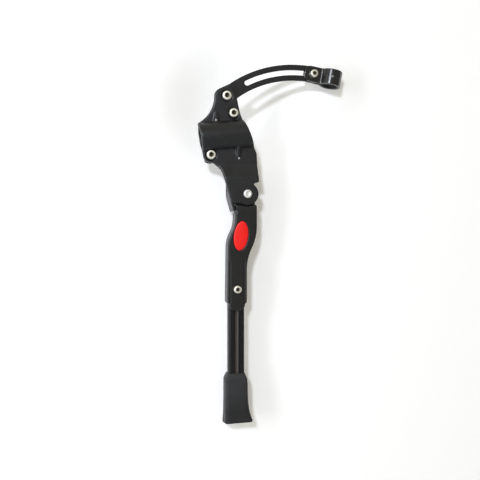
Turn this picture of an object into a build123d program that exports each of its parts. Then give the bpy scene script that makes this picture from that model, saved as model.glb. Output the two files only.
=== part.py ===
from build123d import *
import os
from math import acos, asin, atan2, cos, degrees, hypot, radians, sin, sqrt, tan

# A bicycle kickstand that clamps to the chain stay and is steadied by a slotted arm on the seat stay.
# Frame, in millimetres: origin at the middle of the chain stay's bore, +X to the rear of the bicycle,
# +Y towards the wheel, +Z up. Places in the side view are pairs (X, Z), depths are Y values.

# Directions in the side view, as angles from +X
UP = 90
BACKWARDS = 180
DOWN = 270
FULL_TURN = 360

# Chain stay and its clamp
STAY_DIAMETER = 22.0
STAY_SLOPE = 6.0
PAD_WALL = 2.0
PAD_LENGTH = 38.0
PAD_EDGE = 2.6
SADDLE_EDGE = 1.2
SADDLE_WALL = 4.5
JAW_WALL = 3.8
SPLIT = 3.0
TAB_THICKNESS = 6.0
JAW_TAB_THICKNESS = 5.0
JAW_TAB_RADIUS = 8.5
JAW_OVERHANG = 2.0
JAW_INSET = 2.0
JAW_ROUNDING = 1.0

# Bolts of the clamp and of the arm, measured from the saddle's outside
ARM_BOLT_X = -1.0
ARM_BOLT_RISE = 25.3
TOP_BOLT_X = 6.5
TOP_BOLT_RISE = 6.7
LOW_BOLT_X = -18.3
LOW_BOLT_DROP = 4.5
BOLT_DIAMETER = 6.0
BOLT_HEAD_DIAMETER = 10.0
BOLT_HEAD_HEIGHT = 6.0
BOLT_HEX = 5.0
FASTENER_EDGE = 0.6
BOLT_RECESS = 2.5
RECESS_ROOM = 1.0
NUT_FLATS = 10.0
NUT_HEIGHT = 5.0
NUT_POCKET = 3.0
NUT_PLAY = 0.3
BOLT_PLAY = 0.2
ARM_BOLT_LENGTH = 16.0
CLAMP_BOLT_LENGTH = 20.0
WASHER_DIAMETER = 12.0
WASHER_THICKNESS = 1.6

# Side view of the bracket casting
TAB_LEFT = 13.3
TAB_RIGHT = 11.2
TAB_TOP = 10.6
TAB_TILT = 27.0
TAB_PEAK = 4.5
TAB_ROUNDING = 8.0
TAB_PEAK_ROUNDING = 2.0
TAB_WAIST_ROUNDING = 12.0
LOW_TAB_RADIUS = 8.4
LOW_TAB_BLEND = 5.0
LOW_TAB_END = 285.0
END_LEAN = 4.0
SADDLE_SHOULDER = 15.5
SHOULDER_ROUNDING = 2.0
WAIST_X = -7.0
WAIST_DROP = 20.2
WAIST_ROUNDING = 14.0
RIGHT_TOP_X = 14.0
RIGHT_TOP_RISE = 7.0
RIGHT_TOP_ROUNDING = 25.0
RIGHT_LOW_X = 32.6
RIGHT_LOW_DROP = 1.5
RIGHT_LOW_ROUNDING = 3.0
EDGE_ROUNDING = 1.2

# Fork that carries the leg
PIVOT_X = 21.5
PIVOT_DROP = 46.6
EAR_RADIUS = 12.4
EAR_BLEND = 3.0
FORK_WALL = 3.8
KNUCKLE_WIDTH = 16.0
KNUCKLE_PLAY = 0.2
FORK_CORNER_X = -18.1
FORK_CORNER_Z = -10.5
FORK_CORNER = 1.6
STOP_WALL = 3.2
STOP_REACH = 9.2
STOP_RISE = 17.0
STOP_SLANT = 9.0
REAR_SLANT = 4.0
FLANGE_WALL = 3.5
FLANGE_X = 14.4
FLANGE_CORNER = 0.8
NECK_SLOPE_TOP = 15.5
NECK_SLOPE_LENGTH = 14.0
NECK_BLEND = 10.0
GUSSET_WIDTH = 5.0
GUSSET_REACH = 11.0
GUSSET_RISE = 4.0
GUSSET_FOOT = 2.7
GUSSET_ROUNDING = 2.0
TOP_GUSSET_X = -12.5
LOW_GUSSET_X = 12.0

# Pivot rivet
RIVET_DIAMETER = 7.0
RIVET_HEAD_DIAMETER = 9.6
RIVET_HEAD_HEIGHT = 1.6
RIVET_HEAD_EDGE = 0.7
RIVET_DISH_DIAMETER = 5.0
RIVET_DISH_DEPTH = 0.3
RIVET_TAIL_DIAMETER = 10.0
RIVET_TAIL_DEPTH = 1.5

# Leg
FOLD_ANGLE = 96.0
LEG_FRONT = 10.0
LEG_BACK = 9.0
LEG_RIGHT = 11.0
LEG_WIDTH = 24.3
LEG_LOW_WIDTH = 22.0
LEG_SHIFT = -10.1
LEG_TAPER = 0.8
LEG_LENGTH = 120.5
BEND_TOP = 26.0
BEND_LENGTH_LEFT = 32.0
BEND_LENGTH_RIGHT = 48.0
BEND_STEP = 9.0
LEG_CORNER = 2.5
SHELF_DROP = 1.2
SHELF_CORNER = 1.8
SHELF_CREASE = 0.6
LEG_ROUNDING = 1.5
SHOULDER_ROOM = 0.6
SHOULDER_DROP = 11.5
STOP_ROOM = 0.4
FLANGE_ROOM = 0.5
KNUCKLE_RADIUS = 9.0
TONGUE_DROP = 7.5
TONGUE_HALF_WIDTH = 8.8
LEG_END_CHAMFER = 2.2
FLUTE_RADIUS = 1.2
FLUTE_DEPTH = 0.5
FLUTE_LENGTH = 46.0
FLUTE_SPACING = 16.0
SOCKET_ROOM = 1.0

# Badge set into the leg
BADGE_WIDTH = 16.0
BADGE_LENGTH = 32.3
BADGE_LEAN = 7.5
BADGE_THICKNESS = 1.2
BADGE_RECESS = 1.5
BADGE_ROOM = 0.15
BADGE_DROP = 45.8
BADGE_SHIFT = -7.0

# Sliding rod, its lock screw and the foot
ROD_WIDTH = 18.0
ROD_DEPTH = 12.0
ROD_ROUNDING = 3.0
ROD_PLAY = 0.15
ROD_INSERTION = 38.0
ROD_LENGTH = 144.6
ROD_RETRACT = 22.0
ROD_EXTEND = 16.0
GROOVE_WIDTH = 6.4
GROOVE_DEPTH = 2.2
SCREW_RISE = 16.4
SCREW_DIAMETER = 5.0
SCREW_HEAD_DIAMETER = 8.5
SCREW_HEAD_HEIGHT = 5.0
SCREW_HEX = 4.0
SCREW_RECESS = 1.0
SCREW_POINT_DIAMETER = 3.0
FOOT_HEIGHT = 55.2
FOOT_SLEEVE = 31.0
FOOT_WIDTH = 24.5
FOOT_DEPTH = 20.0
FOOT_FLARE = 19.0
FOOT_FLARE_HEIGHT = 12.0
FOOT_SHOULDER = 6.0
FOOT_COLLAR = 2.4
FOOT_SHIFT = 0.4
FOOT_TOE = 8.0
FOOT_HEEL = 2.6
FOOT_WAIST_SHARE = 0.05
FOOT_ANKLE_SHARE = 0.15
FOOT_ROUNDING = 4.0
SOLE_SLOPE = 1.9
SOLE_EDGE = 2.0
SOLE_LEAN = 8.0

# Slotted arm and the hoop on the seat stay
ARM_THICKNESS = 4.0
ARM_WIDTH = 17.8
ARM_CENTRE_X = 81.0
ARM_CENTRE_Z = -92.8
ARM_PLAY = 0.05
SLOT_WIDTH = 5.7
SLOT_START = 27.6
SLOT_END = -9.0
ARM_EDGE = 0.5
HOOP_AT = -8.6
HOOP_LEAN = 10.0
HOOP_STAY_DIAMETER = 16.0
HOOP_LINER = 2.0
HOOP_STRIP = 2.2
HOOP_HEIGHT = 17.5
HOOP_REACH = 21.8
HOOP_EAR = 10.0
HOOP_BEND = 3.0
HOOP_CORNER = 6.0
HOOP_BOLT_LENGTH = 16.0
HOOP_WASHER_DIAMETER = 10.0
HOOP_WASHER_THICKNESS = 1.0
HOOP_NUT_FLATS = 8.0
HOOP_NUT_HEIGHT = 4.0
THREAD_PLAY = 0.05

# Over-centre spring
POST_ANGLE = 138.0
POST_RADIUS = 16.0
LEG_POST_DROP = 28.0
POST_DIAMETER = 5.0
POST_WAIST = 3.6
POST_HEAD = 3.6
POST_EDGE = 0.7
POST_SEAT = 3.0
SPRING_WIRE = 1.4
SPRING_DIAMETER = 7.6
SPRING_GAP = 0.7
HOOK_PLAY = 0.2
HOOK_LENGTH = 8.5
SPOKE_SINK = 0.1

# Sizes worked out from the values above
STAY_RADIUS = STAY_DIAMETER / 2
SEAT_RADIUS = STAY_RADIUS + PAD_WALL
SADDLE_RADIUS = SEAT_RADIUS + SADDLE_WALL
JAW_RADIUS = SEAT_RADIUS + JAW_WALL
ARM_BOLT = (ARM_BOLT_X, SADDLE_RADIUS + ARM_BOLT_RISE)
TOP_BOLT = (TOP_BOLT_X, SADDLE_RADIUS + TOP_BOLT_RISE)
LOW_BOLT = (LOW_BOLT_X, -SADDLE_RADIUS - LOW_BOLT_DROP)
PIVOT = (PIVOT_X, -SADDLE_RADIUS - PIVOT_DROP)
TAB_BACK = -SPLIT / 2
TAB_FRONT = TAB_BACK - TAB_THICKNESS
BOLT_SEAT = TAB_FRONT + BOLT_RECESS
FORK_INNER = KNUCKLE_WIDTH / 2 + KNUCKLE_PLAY
FORK_OUTER = FORK_INNER + FORK_WALL
ARM_FRONT = TAB_BACK
ARM_BACK = ARM_FRONT + ARM_THICKNESS
ARM_CENTRE = (ARM_BOLT[0] + ARM_CENTRE_X, ARM_BOLT[1] + ARM_CENTRE_Z)
ARM_RADIUS = hypot(ARM_CENTRE_X, ARM_CENTRE_Z)
ARM_START = degrees(atan2(ARM_CENTRE_X, -ARM_CENTRE_Z))
HOOP_RADIUS = HOOP_STAY_DIAMETER / 2 + HOOP_LINER
SPRING_Y = FORK_OUTER + SPRING_GAP + SPRING_DIAMETER / 2
LEG_X = PIVOT[0] + LEG_RIGHT - LEG_WIDTH / 2 + LEG_SHIFT
LEG_END = PIVOT[1] - LEG_LENGTH
LOCK_SCREW = (LEG_X, LEG_END + SCREW_RISE)
BADGE_X = PIVOT[0] + BADGE_SHIFT
ROD_TOP = LEG_END + ROD_INSERTION
FOOT_TOP = ROD_TOP - ROD_LENGTH + FOOT_SLEEVE
GROOVE_RADIUS = (GROOVE_WIDTH ** 2 / 4 + GROOVE_DEPTH ** 2) / (2 * GROOVE_DEPTH)
GROOVE_Y = -ROD_DEPTH / 2 + GROOVE_DEPTH - GROOVE_RADIUS
SOLE_NORMAL = (-tan(radians(SOLE_SLOPE)), tan(radians(SOLE_LEAN)), 1)
FAR = 400.0
FUSE = 1.0


def along(point, angle, distance):
    """The place at a distance from a point, at an angle from +X in the side view."""
    return (point[0] + distance * cos(radians(angle)), point[1] + distance * sin(radians(angle)))


HOOP_BOLT = along(ARM_CENTRE, UP + HOOP_AT, ARM_RADIUS)
BRACKET_POST = along(PIVOT, POST_ANGLE, POST_RADIUS)
LEG_POST = along(PIVOT, DOWN, LEG_POST_DROP)


def plate(sketch, front, back):
    """A solid of a side view sketch between two depths."""
    return extrude(Plane.XZ.offset(-back) * sketch, amount=back - front)


def disc(at, radius, front, back):
    """A round solid across the object, at a place of the side view."""
    return plate(Pos(*at) * Circle(radius), front, back)


def side_prism(points, blended=(), blend=0):
    """A wide solid of a section drawn as (Y, Z) points, with some of its corners blended."""
    face = make_face(Polyline(*points, close=True))
    for at in blended:
        face = rounded_corner(face, at, blend)
    return extrude(Plane.YZ.offset(-FAR) * face, amount=2 * FAR)


def stay_ring(outer, inner, start, end, front, back):
    """A ring on the chain stay's axis, from one place along it to another, between two depths."""
    half = Pos(0, (front + back) / 2) * Rectangle(4 * outer, back - front)
    ring = (Circle(outer) - Circle(inner)) & half
    return Rot(0, UP - STAY_SLOPE, 0) * extrude(Pos(0, 0, start) * ring, amount=end - start)


def stay_rod(radius):
    """A long round bar on the chain stay's axis."""
    return Rot(0, UP - STAY_SLOPE, 0) * Cylinder(radius, FAR)


def stay_height(point):
    """How far a place of the side view lies above the chain stay's axis."""
    return point[1] * cos(radians(STAY_SLOPE)) - point[0] * sin(radians(STAY_SLOPE))


def turned(at, profile):
    """A turned piece across the object: its half section is (radius, Y) points."""
    return Pos(at[0], 0, at[1]) * revolve(make_face(Polyline(*profile, close=True)), axis=Axis.Y)


def rounded_corner(face, at, radius):
    """The face with the corner nearest to a place rounded."""
    return fillet(face.vertices().sort_by_distance(Vector(*at, 0))[0], radius)


def hexagon(at, flats, front, back):
    """A six-sided solid across the object, with one flat towards the chain stay."""
    return plate(Pos(*at) * Rot(0, 0, STAY_SLOPE) * RegularPolygon(flats / sqrt(3), 6), front, back)


def cap_bolt(at, seat, diameter, length, head_diameter, head_height, hexagon_flats):
    """A socket head bolt whose head sits at a depth and faces the rider's side."""
    radius, head_radius, edge = diameter / 2, head_diameter / 2, FASTENER_EDGE
    top, tip = seat - head_height, seat + length
    body = turned(at, [
        (0, top), (head_radius - edge, top), (head_radius, top + edge), (head_radius, seat),
        (radius, seat), (radius, tip - edge), (radius - edge, tip), (0, tip)])
    return body - hexagon(at, hexagon_flats, top, top + head_height / 2)


def nut(at, flats, bore, front, back):
    """A hexagon nut with chamfered corners and a running bore."""
    corner, edge, hole = flats / sqrt(3), FASTENER_EDGE, bore / 2 + THREAD_PLAY
    blank = turned(at, [
        (hole, front), (corner - edge, front), (corner, front + edge),
        (corner, back - edge), (corner - edge, back), (hole, back)])
    return blank & hexagon(at, flats, front, back)


def washer(at, diameter, bore, front, back):
    """A flat ring under a nut."""
    return disc(at, diameter / 2, front, back) - disc(at, bore / 2 + THREAD_PLAY, front, back)


def clamp_side(inset):
    """The side view behind the clamp's leaning front end, moved back by an inset."""
    lean = STAY_SLOPE + END_LEAN
    middle = along(LOW_BOLT, BACKWARDS + lean, LOW_TAB_RADIUS - inset)
    return Pos(*along(middle, lean, FAR / 2)) * Rot(0, 0, lean) * Rectangle(FAR, FAR)


def fork_edge():
    """The front edge of the fork: its two ends, and the directions along it and into the fork."""
    waist = (WAIST_X, -SADDLE_RADIUS - WAIST_DROP)
    corner = (PIVOT[0] + FORK_CORNER_X, PIVOT[1] + FORK_CORNER_Z)
    heading = degrees(atan2(corner[1] - waist[1], corner[0] - waist[0]))
    return waist, corner, heading, heading + UP


def flange_line():
    """The lower and upper ends of the casting's rear edge, between the saddle and the folded leg."""
    notch = along(PIVOT, FOLD_ANGLE, LEG_RIGHT + FLANGE_ROOM)
    return along(notch, FOLD_ANGLE - UP, FLANGE_X), (RIGHT_LOW_X, -SADDLE_RADIUS - RIGHT_LOW_DROP)


def bracket_outline():
    """Side view of the casting, from the arm's tab down to the pivot ear."""
    tab_left, tab_right = ((ARM_BOLT[0] + x, ARM_BOLT[1]) for x in (-TAB_LEFT, TAB_RIGHT))
    corner_left, tab_peak = (
        (ARM_BOLT[0] + x, ARM_BOLT[1] + TAB_TOP / cos(radians(TAB_TILT)) + x * tan(radians(TAB_TILT)))
        for x in (-TAB_LEFT, TAB_PEAK))
    lean = STAY_SLOPE + END_LEAN
    low_from, low_to = BACKWARDS + lean, LOW_TAB_END
    end_low, low_end = (along(LOW_BOLT, turn, LOW_TAB_RADIUS) for turn in (low_from, low_to))
    end_top = along(end_low, UP + lean, (SADDLE_SHOULDER - stay_height(end_low)) / cos(radians(END_LEAN)))
    waist, corner, _, _ = fork_edge()
    ear_from = BACKWARDS - degrees(asin(FORK_CORNER_Z / EAR_RADIUS))
    ear_to = FULL_TURN + FOLD_ANGLE - degrees(acos((LEG_RIGHT + FLANGE_ROOM) / EAR_RADIUS))
    ear_start, ear_end = (along(PIVOT, turn, EAR_RADIUS) for turn in (ear_from, ear_to))
    flange_tip, right_low = flange_line()
    right_top = (RIGHT_TOP_X, SADDLE_RADIUS + RIGHT_TOP_RISE)
    face = make_face([
        TangentArc(tab_left, end_top, tangent=(0, -1)),
        Line(end_top, end_low),
        CenterArc(LOW_BOLT, LOW_TAB_RADIUS, low_from, low_to - low_from),
        Polyline(low_end, waist, corner, ear_start),
        CenterArc(PIVOT, EAR_RADIUS, ear_from, ear_to - ear_from),
        Polyline(ear_end, flange_tip, right_low, right_top, tab_right, tab_peak, corner_left, tab_left)])
    corners = (
        (end_top, SHOULDER_ROUNDING), (low_end, LOW_TAB_BLEND), (waist, WAIST_ROUNDING),
        (corner, FORK_CORNER), (ear_start, EAR_BLEND), (ear_end, FORK_CORNER), (flange_tip, FLANGE_CORNER),
        (right_low, RIGHT_LOW_ROUNDING), (right_top, RIGHT_TOP_ROUNDING), (tab_right, TAB_WAIST_ROUNDING),
        (tab_peak, TAB_PEAK_ROUNDING), (corner_left, TAB_ROUNDING))
    for at, radius in corners:
        face = rounded_corner(face, at, radius)
    return face


def gusset(x, section):
    """A rib across a crease of the saddle, from a section of (Y, Z) points."""
    side = make_face(Polyline(*section, close=True))
    rib = extrude(Plane.YZ.offset(x - GUSSET_WIDTH / 2) * side, amount=GUSSET_WIDTH)
    return fillet(rib.faces().sort_by(Axis.Y)[0].edges().filter_by(Axis.X, reverse=True), GUSSET_ROUNDING)


def bracket_plate(outline, slope_top, slope_low):
    """The casting's front wall, which steps forward below the saddle, with rounded front edges."""
    front = [(TAB_FRONT, FAR), (TAB_FRONT, slope_top), (-FORK_OUTER, slope_low), (-FORK_OUTER, -FAR)]
    back = [(-FORK_INNER, -FAR), (-FORK_INNER, slope_low), (TAB_BACK, slope_top), (TAB_BACK, FAR)]
    profile = side_prism(front + back, front[1:3] + back[1:3], NECK_BLEND)
    wall = plate(outline, -2 * SADDLE_RADIUS, 0) & profile
    edges = wall.faces().filter_by(lambda face: face.normal_at().Y < -0.5).edges()
    rim = [edge for edge in edges if sum(edge.is_same(other) for other in edges) == 1]
    return fillet(rim, EDGE_ROUNDING)


def front_bracket():
    """The casting: arm tab, half saddle, neck, and the fork with its stop wall and flange."""
    outline = bracket_outline()
    _, corner, heading, inward = fork_edge()
    slope_top = -SADDLE_RADIUS - NECK_SLOPE_TOP
    slope_low = slope_top - NECK_SLOPE_LENGTH
    body = bracket_plate(outline, slope_top, slope_low)
    front_half = side_prism([(-FAR, FAR), (-FAR, -FAR), (TAB_BACK, -FAR), (TAB_BACK, FAR)])
    saddle = stay_rod(SADDLE_RADIUS) & plate(outline, -2 * SADDLE_RADIUS, 0) & front_half
    body += fillet(saddle.edges().filter_by(GeomType.ELLIPSE).sort_by(Axis.X)[0], SADDLE_EDGE)
    flange_low, flange_top = flange_line()
    strip = make_face(Polyline(
        flange_low, flange_top, (flange_top[0] - FLANGE_WALL, flange_top[1]),
        (flange_low[0] - FLANGE_WALL, flange_low[1]), close=True)) & outline
    body += plate(strip, -FORK_OUTER, FORK_OUTER) & side_prism([
        (-FORK_INNER - FUSE, -FAR), (-FORK_INNER - FUSE, slope_low), (TAB_BACK - FUSE, slope_top),
        (TAB_BACK, slope_top + FLANGE_WALL), (FORK_OUTER, slope_low + REAR_SLANT), (FORK_OUTER, -FAR)])
    stop_top = along(corner, heading + BACKWARDS, STOP_RISE)
    stop_tip = along(corner, heading, STOP_REACH)
    stop = plate(make_face(Polyline(
        stop_top, stop_tip, along(stop_tip, inward, STOP_WALL), along(stop_top, inward, STOP_WALL),
        close=True)), -FORK_OUTER + EDGE_ROUNDING, FORK_OUTER)
    stop &= side_prism([
        (-FORK_OUTER, stop_top[1]), (-FORK_OUTER, -FAR), (FORK_OUTER, -FAR),
        (FORK_OUTER, stop_top[1] - STOP_SLANT)])
    rear_left = along(corner, heading + BACKWARDS, STOP_RISE / 2)[0]
    window = make_face(Polyline(
        (rear_left, slope_low - REAR_SLANT), (rear_left, -FAR), (FAR, -FAR), (FAR, slope_low + REAR_SLANT),
        (flange_low[0], slope_low + REAR_SLANT), close=True))
    body += stop
    body += plate(outline & window, FORK_INNER, FORK_OUTER)
    crease = sqrt(SADDLE_RADIUS ** 2 - TAB_FRONT ** 2)
    for x, side in ((TOP_GUSSET_X, 1), (LOW_GUSSET_X, -1)):
        axis = x * tan(radians(STAY_SLOPE))
        body += gusset(x, [
            (TAB_FRONT + FUSE, axis + side * (crease + GUSSET_REACH)),
            (TAB_FRONT, axis + side * (crease + GUSSET_REACH)),
            (TAB_FRONT - GUSSET_RISE, axis + side * (crease - GUSSET_FOOT)),
            (TAB_FRONT + FUSE, axis + side * (crease - GUSSET_FOOT))])
    body -= stay_rod(SEAT_RADIUS)
    for at in (ARM_BOLT, TOP_BOLT, LOW_BOLT):
        body -= disc(at, BOLT_DIAMETER / 2 + BOLT_PLAY, -2 * SADDLE_RADIUS, 0)
        body -= disc(at, BOLT_HEAD_DIAMETER / 2 + RECESS_ROOM, -2 * SADDLE_RADIUS, BOLT_SEAT)
    body -= pivot_rivet()
    return body - bracket_post()


def rear_jaw():
    """The clamp's other half: a saddle with two bolt tabs and pockets that keep the nuts from turning."""
    front, back = SPLIT / 2, SPLIT / 2 + JAW_TAB_THICKNESS
    end = PAD_LENGTH / 2 + JAW_OVERHANG
    jaw = stay_ring(JAW_RADIUS, SEAT_RADIUS, -2 * end, end, front, 2 * JAW_RADIUS)
    for at, side in ((TOP_BOLT, UP), (LOW_BOLT, DOWN)):
        middle = along((0, 0), side + STAY_SLOPE, SEAT_RADIUS)
        base = Line(along(middle, STAY_SLOPE, -end), along(middle, STAY_SLOPE, PAD_LENGTH / 2))
        tab = plate(make_hull([base] + (Pos(*at) * Circle(JAW_TAB_RADIUS)).edges()), front, back)
        jaw += fillet(tab.faces().sort_by(Axis.Y)[-1].edges(), JAW_ROUNDING)
    jaw &= plate(clamp_side(JAW_INSET), front, 2 * JAW_RADIUS)
    jaw -= stay_rod(SEAT_RADIUS)
    for at in (TOP_BOLT, LOW_BOLT):
        jaw -= disc(at, BOLT_DIAMETER / 2 + BOLT_PLAY, 0, 2 * JAW_RADIUS)
        jaw -= hexagon(at, NUT_FLATS + NUT_PLAY, back - NUT_POCKET, 2 * JAW_RADIUS)
    return jaw


def stay_pad(front, back):
    """A rubber lining of one half of the clamp."""
    return stay_ring(SEAT_RADIUS, STAY_RADIUS, -PAD_LENGTH / 2, PAD_LENGTH / 2, front, back)


def frame_bolt(at, length):
    """One of the bracket's three bolts, with its head in the casting's recess."""
    return cap_bolt(at, BOLT_SEAT, BOLT_DIAMETER, length, BOLT_HEAD_DIAMETER, BOLT_HEAD_HEIGHT, BOLT_HEX)


def clamp_nut(at):
    """A nut in its pocket of the rear jaw."""
    seat = SPLIT / 2 + JAW_TAB_THICKNESS - NUT_POCKET
    return nut(at, NUT_FLATS, BOLT_DIAMETER, seat, seat + NUT_HEIGHT)


def arm_arc(start, end):
    """A stretch of the arm's middle line, by angles from upright, positive to the front."""
    return CenterArc(ARM_CENTRE, ARM_RADIUS, UP + end, start - end)


def support_arm():
    """The curved bar with its long slot, turning on the arm bolt."""
    arm = SlotArc(arm_arc(ARM_START, SLOT_END), ARM_WIDTH)
    arm -= SlotArc(arm_arc(SLOT_START, SLOT_END), SLOT_WIDTH)
    arm -= Pos(*ARM_BOLT) * Circle(BOLT_DIAMETER / 2 + THREAD_PLAY)
    bar = plate(arm, ARM_FRONT, ARM_BACK)
    rim = bar.faces().filter_by(Plane.XZ).edges()
    return chamfer(rim, ARM_EDGE)


def hoop_section(outline, height):
    """A solid of the hoop's section, drawn as distance from its bolt and depth."""
    turn = radians(HOOP_LEAN)
    across, upwards = (cos(turn), 0, -sin(turn)), (sin(turn), 0, cos(turn))
    view = Plane((HOOP_BOLT[0], 0, HOOP_BOLT[1]), x_dir=across, z_dir=upwards)
    return extrude(view * outline, amount=height / 2, both=True)


def stay_hoop():
    """The strip that wraps the seat stay and closes on both sides of the arm."""
    front, back = ARM_FRONT - ARM_PLAY, ARM_BACK + ARM_PLAY
    middle = (front + back) / 2
    ears = Pos((HOOP_REACH - HOOP_EAR) / 2, middle) * Rectangle(
        HOOP_REACH + HOOP_EAR, back - front + 2 * HOOP_STRIP)
    strip = ears + Pos(HOOP_REACH, middle) * Circle(HOOP_RADIUS + HOOP_STRIP)
    inside = strip.vertices().sort_by(Axis.X)[2:4]
    strip = fillet(inside, HOOP_BEND)
    strip -= Pos((HOOP_REACH - HOOP_EAR) / 2, middle) * Rectangle(HOOP_REACH + HOOP_EAR, back - front)
    strip -= Pos(HOOP_REACH, middle) * Circle(HOOP_RADIUS)
    hoop = hoop_section(strip, HOOP_HEIGHT)
    corners = hoop.edges().filter_by(Axis.Y).sort_by(Axis.X)[:4]
    hoop = fillet(corners, HOOP_CORNER)
    return hoop - disc(HOOP_BOLT, SCREW_DIAMETER / 2 + THREAD_PLAY, -FAR, FAR)


def hoop_liner():
    """The rubber sleeve inside the hoop, split towards the arm."""
    middle = (ARM_FRONT + ARM_BACK) / 2
    ring = Pos(HOOP_REACH, middle) * (Circle(HOOP_RADIUS) - Circle(HOOP_STAY_DIAMETER / 2))
    ring -= Pos(0, middle) * Rectangle(2 * HOOP_REACH, ARM_THICKNESS + 2 * HOOP_STRIP)
    return hoop_section(ring, HOOP_HEIGHT)


def hoop_fasteners():
    """The hoop's bolt, washer and nut, which travel along the arm's slot."""
    seat = ARM_FRONT - ARM_PLAY - HOOP_STRIP
    far_side = ARM_BACK + ARM_PLAY + HOOP_STRIP
    nut_seat = far_side + HOOP_WASHER_THICKNESS
    bolt = cap_bolt(HOOP_BOLT, seat, SCREW_DIAMETER, HOOP_BOLT_LENGTH, SCREW_HEAD_DIAMETER,
                    SCREW_HEAD_HEIGHT, SCREW_HEX)
    ring = washer(HOOP_BOLT, HOOP_WASHER_DIAMETER, SCREW_DIAMETER, far_side, nut_seat)
    return bolt, ring, nut(HOOP_BOLT, HOOP_NUT_FLATS, SCREW_DIAMETER, nut_seat, nut_seat + HOOP_NUT_HEIGHT)


def pivot_rivet():
    """The rivet that the leg swings on: a low domed head, and a tail set flush into the rear wall."""
    shank, head, tail = RIVET_DIAMETER / 2, RIVET_HEAD_DIAMETER / 2, RIVET_TAIL_DIAMETER / 2
    top = -FORK_OUTER - RIVET_HEAD_HEIGHT
    return turned(PIVOT, [
        (0, top + RIVET_DISH_DEPTH), (RIVET_DISH_DIAMETER / 2, top), (head - RIVET_HEAD_EDGE, top),
        (head, top + RIVET_HEAD_EDGE), (head, -FORK_OUTER), (shank, -FORK_OUTER),
        (shank, FORK_OUTER - RIVET_TAIL_DEPTH), (tail, FORK_OUTER), (0, FORK_OUTER)])


def spring_post(at, base, seat):
    """A headed pin with a waist that keeps the spring's hook, seated into what carries it."""
    radius, waist, end = POST_DIAMETER / 2, POST_WAIST / 2, SPRING_Y + POST_HEAD
    return turned(at, [
        (0, base - seat), (radius, base - seat), (radius, SPRING_Y - SPRING_WIRE - POST_EDGE),
        (waist, SPRING_Y - SPRING_WIRE), (waist, SPRING_Y + SPRING_WIRE),
        (radius, SPRING_Y + SPRING_WIRE + POST_EDGE), (radius, end - POST_EDGE), (radius - POST_EDGE, end),
        (0, end)])


def bracket_post():
    """The upper spring post, set into the fork's rear wall."""
    return spring_post(BRACKET_POST, FORK_OUTER, FORK_WALL)


def leg_post():
    """The lower spring post, set into the back of the leg."""
    return spring_post(LEG_POST, LEG_BACK, POST_SEAT)


def leg_spring():
    """The over-centre tension spring: a close-wound coil with a hook on each post."""
    span = hypot(LEG_POST[0] - BRACKET_POST[0], LEG_POST[1] - BRACKET_POST[1])
    heading = atan2(LEG_POST[1] - BRACKET_POST[1], LEG_POST[0] - BRACKET_POST[0])
    wire, inner = SPRING_WIRE / 2, SPRING_DIAMETER / 2 - SPRING_WIRE
    loop = POST_WAIST / 2 + HOOK_PLAY + wire
    turns = int((span - 2 * HOOK_LENGTH) / SPRING_WIRE)
    length = turns * SPRING_WIRE
    first = (span - length) / 2
    outline = [Line((first, inner), (first, inner + wire))]
    for turn in range(turns):
        left, right = first + turn * SPRING_WIRE, first + (turn + 1) * SPRING_WIRE
        crest = ((left + right) / 2, inner + 2 * wire)
        outline.append(ThreePointArc((left, inner + wire), crest, (right, inner + wire)))
    outline.append(Polyline((first + length, inner + wire), (first + length, inner), (first, inner)))
    coil = revolve(make_face(outline), axis=Axis.X)
    for end, side in ((0, 1), (span, -1)):
        root = end + side * first
        coil += Pos(end, 0, 0) * Torus(loop, wire)
        reach = Cylinder(wire, first - loop + wire)
        coil += Pos((end + side * loop + root) / 2, 0, 0) * Rot(0, 90, 0) * reach
        spoke = inner + wire - SPOKE_SINK
        coil += Pos(root + side * wire / 2, spoke / 2, 0) * Rot(90, 0, 0) * Cylinder(wire, spoke)
    axis = (cos(heading), 0, sin(heading))
    return Plane((BRACKET_POST[0], SPRING_Y, BRACKET_POST[1]), x_dir=axis, z_dir=(0, -1, 0)) * coil


def s_bend(start, end):
    """Two arcs that carry an upright edge sideways from one place to another."""
    middle = ((start[0] + end[0]) / 2, (start[1] + end[1]) / 2)
    return [TangentArc(start, middle, tangent=(0, -1)), TangentArc(end, middle, tangent=(0, 1))]


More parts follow.
